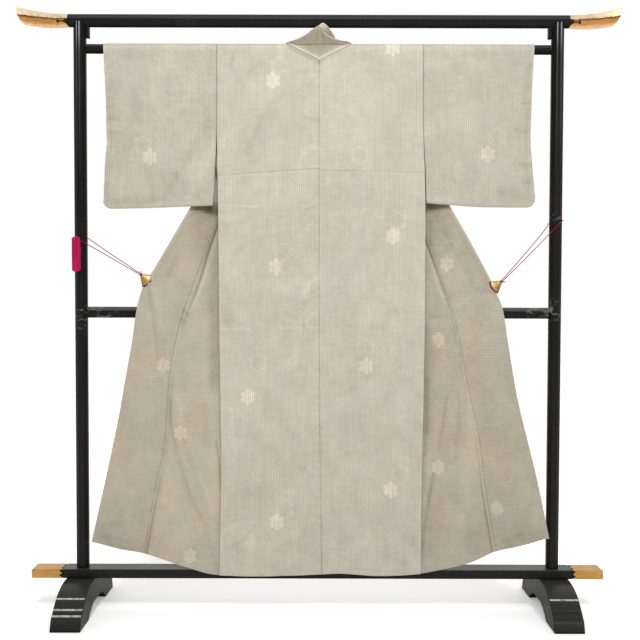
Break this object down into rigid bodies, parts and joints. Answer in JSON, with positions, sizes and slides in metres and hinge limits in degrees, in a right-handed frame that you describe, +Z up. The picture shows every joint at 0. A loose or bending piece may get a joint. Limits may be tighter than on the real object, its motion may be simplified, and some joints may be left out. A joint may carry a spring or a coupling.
{
  "type": "silk kimono on a lacquered kimono stand",
  "caption": "Pale striped silk kimono with snow-flower pattern, shown from the back on a black lacquered stand with gilded bar ends, its fronts drawn out by clips and cords.",
  "frame": {"origin": "on the floor, under the middle of the stand", "axes": "+Z up; -Y out of the garment's back, the side it is shown from; +X to the right seen from that side"},
  "size_m": [1.791, 0.46, 1.801],
  "materials": {
    "silk": "pale cream silk with fine stripes and woven flower motifs, soft sheen",
    "lacquer": "black gloss lacquer",
    "gilt": "brushed gold leaf over wood",
    "clip_metal": "polished",
    "cord": "crimson silk cord"
  },
  "bodies": {
    "root": {"back_left": "silk", "back_right": "silk", "front_left": "silk", "front_right": "silk", "okumi_left": "silk", "okumi_right": "silk", "collar_left": "silk", "collar_right": "silk", "collar_neck": "silk", "collar_neck_inner": "silk", "sleeve_left": "silk", "sleeve_right": "silk", "top_bar": "lacquer", "post_left": "lacquer", "post_right": "lacquer", "bracket_left": "lacquer", "bracket_right": "lacquer", "sleeve_rod": "lacquer", "middle_rail": "lacquer", "base_rail": "lacquer", "foot_left": "lacquer", "foot_right": "lacquer", "bar_end_left": "gilt", "bar_end_right": "gilt", "base_end_left": "gilt", "base_end_right": "gilt", "clip_left": "clip_metal", "clip_right": "clip_metal", "cord_left": "cord", "cord_right": "cord", "cord_hank": "cord"}
  },
  "joints": []
}
